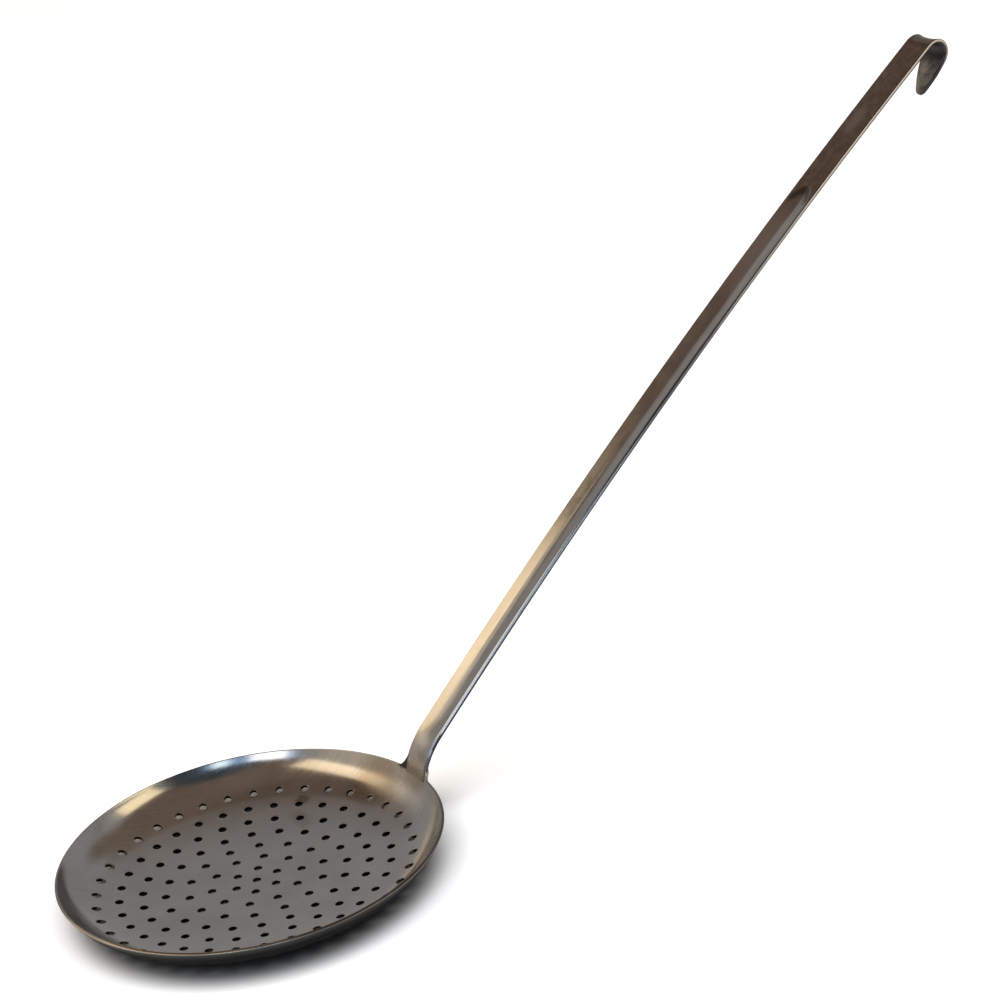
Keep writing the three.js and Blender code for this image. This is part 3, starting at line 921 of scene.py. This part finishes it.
def handle_material():
    material, tree, principled, place = new_steel("handle_steel")
    along, across, through = (read_value(tree, name) for name in ("along", "across", "through"))
    flat = add_node(tree, "ShaderNodeCombineXYZ", {0: along, 1: across, 2: through}).outputs[0]
    spacing = {"line_spacing": STRIP_LINE_SPACING, "line_length": STRIP_LINE_LENGTH}
    lines = use_look(tree, "brushing", vector=flat, **spacing)
    clouds = use_look(tree, "cloud", vector=place, patch_size=STRIP_PATCH * MM)
    speckle = use_look(tree, "cloud", vector=place, patch_size=SPECKLE * MM)
    wander = calculate(tree, "MULTIPLY_ADD", clouds, TINT_WANDER, along)
    colour = uneven(tree, HANDLE_STEEL, clouds, STRIP_CLOUDING, lines, STRIP_LINES)
    colour = browned_strip(tree, colour, place, along, speckle)
    colour = scuff_and_paler_side(tree, colour, flat, along, across)
    colour = stained(tree, colour, ramp(tree, wander, *TINTED_TO), SHARES["tinted"], HEAT_TINT)
    # painted shade inside the hook
    rolled = ramp(tree, along, *beyond(hook_from, HOOK_ROLLED))
    in_hook = calculate(tree, "MULTIPLY", rolled, ramp(tree, through, *HOOK_BACK))
    inside = mix_colour(tree, speckle, HOOK_INSIDE_SHADE, HOOK_PALE)
    inside = mix_colour(tree, ramp(tree, along, *beyond(tongue_from, HOOK_OPENS)), HOOK_CURL_SHADE, inside)
    colour = mix_colour(tree, in_hook, colour, inside)
    # painted light and shade on the strip's narrow sides
    on_side = band(tree, through, SIDE_RISE, SIDE_FALL)
    colour = mix_colour(tree, on_side, colour, painted_side_light(tree, along, through))
    colour = foot_soot_and_shade(tree, colour, along, across, wander)
    # painted shade at the groove's end
    colour = stained(tree, colour, groove_end_shade(tree, along, across), SHARES["nose_shade"], SOOT_AND_SHADE)
    polish = ramp(tree, along, *FOOT_POLISH_ENDS, *STRIP_POLISH)
    polish = calculate(tree, "MULTIPLY_ADD", in_hook, HOOK_ROUGHER, polish)
    cloudy, lined = STRIP_ROUGHENED
    roughness = uneven_polish(tree, polish, clouds, cloudy, lines, lined)
    finish_steel(tree, principled, colour, roughness, lines, STRIP_RELIEF)
    return material


def browned_strip(tree, colour, place, along, speckle):
    """Brown blotches and speckles towards the hook, and painted shade in the brown stain colour over the top
    of its bend.
    """
    blotches = use_look(tree, "cloud", vector=place, patch_size=BLOTCH * MM)
    browned = calculate(tree, "MULTIPLY", blotches, ramp(tree, along, *BROWNED_FROM))
    colour = stained(tree, colour, browned, SHARES["browned"], HANDLE_BROWN)
    mottled = calculate(tree, "MULTIPLY", speckle, ramp(tree, along, *MOTTLED_FROM))
    colour = stained(tree, colour, mottled, SHARES["mottled"], BROWN_STAIN_AND_SHADE)
    # painted shade over the hook's bend
    crown = ramp(tree, along, *beyond(hook_from, CROWN_FROM))
    return stained(tree, colour, crown, SHARES["crown"], BROWN_STAIN_AND_SHADE)


def scuff_and_paler_side(tree, colour, flat, along, across):
    """A pale scuff above the groove's end, and a paler band along the strip's right side below it."""
    shape = {"place": SCUFF_PLACE, "stretch": SCUFF_STRETCH, "size": SCUFF_SIZE}
    scuff = use_look(tree, "stain", vector=flat, raggedness=SCUFF_RAGGEDNESS, **shape)
    colour = stained(tree, colour, scuff, SHARES["scuffed"], PALE_STEEL)
    paler_side = band(tree, along, PALER_SIDE_RISE, PALER_SIDE_FALL)
    paler_side = calculate(tree, "MULTIPLY", paler_side, ramp(tree, across, *PALER_SIDE_ACROSS))
    return stained(tree, colour, paler_side, SHARES["paler_side"], PALE_STEEL)


def foot_soot_and_shade(tree, colour, along, across, wander):
    """By the weld: a patch of painted shade on the right edge, a seam of soot on the right and a notch of
    soot on the left.
    """
    # painted shade on the right edge
    side_shadow = band(tree, along, SIDE_SHADOW_RISE, SIDE_SHADOW_FALL)
    side_shadow = calculate(tree, "MULTIPLY", ramp(tree, across, *SIDE_SHADOW_ACROSS), side_shadow)
    colour = stained(tree, colour, side_shadow, SHARES["side_shadow"], SOOT_AND_SHADE)
    seam = calculate(tree, "MULTIPLY", ramp(tree, across, *SEAM_ACROSS), ramp(tree, wander, *SEAM_TO))
    colour = stained(tree, colour, seam, SHARES["seam"], SOOT_AND_SHADE)
    notch = calculate(tree, "MULTIPLY", ramp(tree, across, *NOTCH_ACROSS), ramp(tree, wander, *NOTCH_TO))
    return stained(tree, colour, notch, SHARES["notch"], SOOT_AND_SHADE)


# Painted light and shade on the strip's narrow sides, in the same measures
SIDE_RISE = (0.01, 0.05)
SIDE_FALL = (0.99, 0.95)
SIDE_BRIGHTENS = (180.0, 300.0)
SIDE_FOOT_TO = (13.0, 10.0)
SIDE_HOOK_FROM = (6.0, 14.0)
SIDE_TONGUE_FROM = (-2.0, 3.0)
FRONT_LINE = (0.22, 0.05)
FRONT_LINE_FROM = (270.0, 300.0)
BACK_CORNER_FROM = (0.48, 0.64)
DARK_CORNER_RISE = (120.0, 185.0)
DARK_CORNER_FALL = (300.0, 270.0)
DARK_CORNER = (0.34, 0.2)
WORN_CORNER = (0.47, 0.4)
CORNER_SHEEN_TO = (185.0, 100.0)
BLUE_REFLECTION_TO = (0.15, 0.35)


def painted_side_light(tree, along, through):
    """Painted light and shade: a painted highlight on the worn front corner low down, partly a bluish
    painted reflection, duller sides, dark at the back and in the hook.
    """
    side = mix_colour(tree, ramp(tree, along, *SIDE_BRIGHTENS), SIDE_LOW, SIDE_HIGH)
    side = mix_colour(tree, ramp(tree, along, *SIDE_FOOT_TO), side, SIDE_FOOT)
    side = mix_colour(tree, ramp(tree, along, *beyond(hook_from, SIDE_HOOK_FROM)), side, SIDE_HOOK)
    side = mix_colour(tree, ramp(tree, along, *beyond(tongue_from, SIDE_TONGUE_FROM)), side, SIDE_BACK)
    front_line = ramp(tree, through, *FRONT_LINE)
    front_line = calculate(tree, "MULTIPLY", front_line, ramp(tree, along, *FRONT_LINE_FROM))
    side = mix_colour(tree, front_line, side, SIDE_BACK)
    side = mix_colour(tree, ramp(tree, through, *BACK_CORNER_FROM), side, SIDE_BACK)
    # a band of painted shade along the side
    dark = band(tree, along, DARK_CORNER_RISE, DARK_CORNER_FALL)
    dark = calculate(tree, "MULTIPLY", dark, ramp(tree, through, *DARK_CORNER))
    side = mix_colour(tree, dark, side, SIDE_CORNER)
    # painted highlight on the worn front corner
    worn = calculate(tree, "MULTIPLY", ramp(tree, through, *WORN_CORNER), ramp(tree, along, *CORNER_SHEEN_TO))
    corner_sheen = mix_colour(tree, ramp(tree, through, *BLUE_REFLECTION_TO), BLUE_REFLECTION, WORN_CORNER_SHEEN)
    return mix_colour(tree, worn, side, corner_sheen)


def groove_end_shade(tree, along, across):
    """A crescent of painted shade against the groove's upper end."""
    into = calculate(tree, "DIVIDE", calculate(tree, "SUBTRACT", along, nose_from), GROOVE_NOSE)
    into = calculate(tree, "MAXIMUM", into, 0.0)
    out = calculate(tree, "DIVIDE", across, groove_half)
    apart = calculate(tree, "MULTIPLY_ADD", into, into, calculate(tree, "MULTIPLY", out, out))
    crescent = band(tree, apart, NOSE_SHADE_RISE, NOSE_SHADE_FALL)
    return calculate(tree, "MULTIPLY", crescent, ramp(tree, into, *NOSE_SHADE_FROM))


# Weld looks, in millimetres from the strip's middle line and shares
WELD_PATCH = 2.5
WELD_TINTED = 0.6
WELD_WANDER = 0.5
TOE_LEAN = 0.5
LEFT_TOE_FROM = (7.2, 8.1)
RIGHT_LINE_RISE = (-5.6, -6.2)
RIGHT_LINE_FALL = (-7.6, -7.0)
RIGHT_LINE_SHARE = 0.6
WELD_SOOT = 0.9
WELD_POLISH = (0.15, 0.36)
WELD_RELIEF = 0.4


def weld_material():
    material, tree, principled, place = new_steel("weld_steel")
    clouds = use_look(tree, "cloud", vector=place, patch_size=WELD_PATCH * MM)
    colour = stained(tree, WELD_STEEL, clouds, WELD_TINTED, HEAT_TINT)
    at = add_node(tree, "ShaderNodeSeparateXYZ", {0: place}).outputs
    aside = calculate(tree, "MULTIPLY_ADD", clouds, WELD_WANDER, calculate(tree, "DIVIDE", at["Y"], MM))
    above = calculate(tree, "SUBTRACT", calculate(tree, "DIVIDE", at["Z"], MM), RIM_Z)
    left_toe = ramp(tree, calculate(tree, "MULTIPLY_ADD", above, TOE_LEAN, aside), *LEFT_TOE_FROM)
    right_line = band(tree, aside, RIGHT_LINE_RISE, RIGHT_LINE_FALL)
    right_line = calculate(tree, "MULTIPLY", right_line, RIGHT_LINE_SHARE)
    colour = stained(tree, colour, calculate(tree, "MAXIMUM", left_toe, right_line), WELD_SOOT, SOOT_AND_SHADE)
    roughness = calculate(tree, "MULTIPLY_ADD", clouds, *WELD_POLISH)
    finish_steel(tree, principled, colour, roughness, clouds, WELD_RELIEF)
    return material


def add_piece(piece, node, material):
    """Puts a finished piece in the frame in place of its CAD node."""
    piece.data.materials.clear()
    piece.data.materials.append(material)
    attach(piece, "root")
    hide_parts(node)


bowl_steel = bowl_material()
add_piece(build_bowl(bowl_steel), "bowl", bowl_steel)
add_piece(build_handle(), "handle", handle_material())
add_piece(build_weld(), "weld_bead", weld_material())

# Room: a pale floor, a grey horizon under a dim brown ceiling, one panel overhead and six around
FLOOR_HALF = 6.0
FLOOR_DROP = 0.3
FLOOR_COLOUR = (0.80, 0.82, 0.85)
FLOOR_SEEN = 1.55
# Painted shadow under the bowl: the floor's gain falls to this between these distances from the axis
FLOOR_SHADOW_GAIN = 0.15
SHADE_ENDS = (63.0, 81.0)
MIRRORED_SHADE_ENDS = (71.0, 96.0)
HORIZON = (0.318, 0.307, 0.304)
CEILING = (0.195, 0.143, 0.11)
CEILING_STARTS = (40.0, 47.0)
# Each patch of the surroundings: azimuth, elevation, inner and outer half angles in degrees, colour
PATCHES = {
    "brown_far": (109.7, 55.2, 20.6, 29.6, (0.155, 0.11, 0.085)),
    "shaded_side": (261.7, 33.0, 22.0, 31.0, (0.048, 0.06, 0.073)),
    "beige_left": (160.2, 14.8, 21.0, 41.8, (0.567, 0.492, 0.4)),
    "low_glow": (63.0, 0.0, 8.0, 24.0, (0.39, 0.385, 0.385)),
    "brown_right": (7.0, 41.0, 6.0, 17.0, (0.2, 0.152, 0.118)),
}
# Each panel: azimuth, elevation, turn, distance in metres, width and height in degrees, radiance
PANELS = {
    "overhead": (243.0, 68.0, 0.0, 9.0, 60.0, 60.0, (2.2, 2.2, 2.2)),
    "warm_left": (159.7, 47.3, 14.6, 3.0, 48.4, 15.8, (1.47, 1.18, 0.775)),
    "warm_far": (124.0, 32.1, 8.0, 1.32, 14.6, 24.4, (0.51, 0.45, 0.35)),
    "window": (234.0, 32.5, -3.1, 3.0, 48.0, 19.5, (0.2, 0.38, 0.68)),
    "wide_pane": (222.3, 33.2, -3.1, 3.0, 19.0, 17.0, (1.95, 1.8, 1.6)),
    "narrow_pane": (252.6, 32.8, -3.1, 3.0, 8.5, 16.0, (1.6, 1.8, 1.7)),
    "warm_right": (314.2, 36.8, -3.6, 3.0, 25.5, 17.2, (1.5, 1.19, 0.65)),
}


def direction(azimuth, elevation):
    flat = math.cos(math.radians(elevation))
    turn = math.radians(azimuth)
    return Vector((flat * math.cos(turn), flat * math.sin(turn), math.sin(math.radians(elevation))))


def add_panel(name, azimuth, elevation, turn, distance, width, height, radiance):
    """A rectangular lamp facing the part. The overhead one isn't mirrored in the steel."""
    lamp = bpy.data.lights.new(name, "AREA")
    lamp.shape = "RECTANGLE"
    lamp.size = 2 * distance * math.tan(math.radians(width / 2))
    lamp.size_y = 2 * distance * math.tan(math.radians(height / 2))
    strongest = max(radiance)
    lamp.color = [part / strongest for part in radiance]
    lamp.energy = strongest * math.pi * lamp.size * lamp.size_y
    made = bpy.data.objects.new(name, lamp)
    out = direction(azimuth, elevation)
    made.location = out * distance
    roll = Quaternion((0, 0, 1), math.radians(turn))
    made.rotation_euler = (out.to_track_quat("Z", "Y") @ roll).to_euler()
    made.visible_glossy = name != "overhead"
    bpy.context.scene.collection.objects.link(made)


def patch(tree, way, azimuth, elevation, inner, outer):
    """A round soft patch of the surroundings, 1 within the inner angle and 0 outside the outer one."""
    toward = vector_math(tree, "DOT_PRODUCT", way, direction(azimuth, elevation))
    near = math.cos(math.radians(inner))
    far = math.cos(math.radians(outer))
    return ramp(tree, toward, far, near)


def add_room_light():
    world = bpy.data.worlds.new("room")
    bpy.context.scene.world = world
    world.use_nodes = True
    tree = world.node_tree
    way = add_node(tree, "ShaderNodeTexCoord").outputs["Object"]
    height = add_node(tree, "ShaderNodeSeparateXYZ", {0: way}).outputs["Z"]
    low, high = (math.sin(math.radians(angle)) for angle in CEILING_STARTS)
    colour = mix_colour(tree, ramp(tree, height, low, high), HORIZON, CEILING)
    for azimuth, elevation, inner, outer, shade in PATCHES.values():
        colour = mix_colour(tree, patch(tree, way, azimuth, elevation, inner, outer), colour, shade)
    seen = add_node(tree, "ShaderNodeLightPath").outputs["Is Camera Ray"]
    colour = mix_colour(tree, seen, colour, (1.0, 1.0, 1.0))
    tree.links.new(colour, tree.nodes["Background"].inputs["Color"])


def floor_material():
    """Plain paper, seen brighter by the camera and in reflections, with a painted shadow under the bowl
    where that brightening is held back.
    """
    material = bpy.data.materials.new("floor_paper")
    material.use_nodes = True
    tree = material.node_tree
    tree.nodes.remove(tree.nodes["Principled BSDF"])
    ray = add_node(tree, "ShaderNodeLightPath").outputs
    seen = calculate(tree, "MAXIMUM", ray["Is Camera Ray"], ray["Is Glossy Ray"])
    seen = calculate(tree, "MAXIMUM", seen, ray["Is Transmission Ray"])
    place = add_node(tree, "ShaderNodeTexCoord").outputs["Object"]
    apart = vector_math(tree, "DISTANCE", place, (AXIS_X * MM, 0, 0))
    gains = []
    for near, far in (MIRRORED_SHADE_ENDS, SHADE_ENDS):
        gain = ramp(tree, apart, near * MM, far * MM, FLOOR_SHADOW_GAIN, FLOOR_SEEN)
        gains.append(grey(tree, gain))
    gain = mix_colour(tree, ray["Is Camera Ray"], *gains)
    bright = mix_colour(tree, 1.0, FLOOR_COLOUR, gain, blend="MULTIPLY")
    colour = mix_colour(tree, seen, FLOOR_COLOUR, bright)
    paper = add_node(tree, "ShaderNodeBsdfDiffuse", {"Color": colour})
    tree.links.new(paper.outputs[0], tree.nodes["Material Output"].inputs["Surface"])
    return material


def add_floor():
    mesh = bpy.data.meshes.new("floor")
    corners = [(x * FLOOR_HALF, y * FLOOR_HALF, 0) for x, y in ((-1, -1), (1, -1), (1, 1), (-1, 1))]
    mesh.from_pydata(corners, [], [(0, 1, 2, 3)])
    made = bpy.data.objects.new("floor", mesh)
    made.location.z = -FLOOR_DROP * MM
    bpy.context.scene.collection.objects.link(made)
    mesh.materials.append(floor_material())


for panel, values in PANELS.items():
    add_panel(panel, *values)
add_room_light()
add_floor()

# Camera at the photo's angle
CAMERA_FROM_RIM = (-377.9, -1000.4, 583.26)
CAMERA_RIGHT = (0.84488, -0.51162, -0.15628)
CAMERA_UP = (0.32829, 0.26521, 0.90658)
CAMERA_LENS = 107.366
CAMERA_SENSOR = 36.0


def add_camera():
    lens = bpy.data.cameras.new("camera")
    lens.lens = CAMERA_LENS
    lens.sensor_width = CAMERA_SENSOR
    made = bpy.data.objects.new("camera", lens)
    right = Vector(CAMERA_RIGHT).normalized()
    back = right.cross(Vector(CAMERA_UP)).normalized()
    turn = Matrix((right, back.cross(right), back)).transposed()
    made.matrix_world = Matrix.Translation(frame_point(*CAMERA_FROM_RIM)) @ turn.to_4x4()
    bpy.context.scene.collection.objects.link(made)
    bpy.context.scene.camera = made


add_camera()
bpy.context.scene.view_settings.view_transform = "Standard"

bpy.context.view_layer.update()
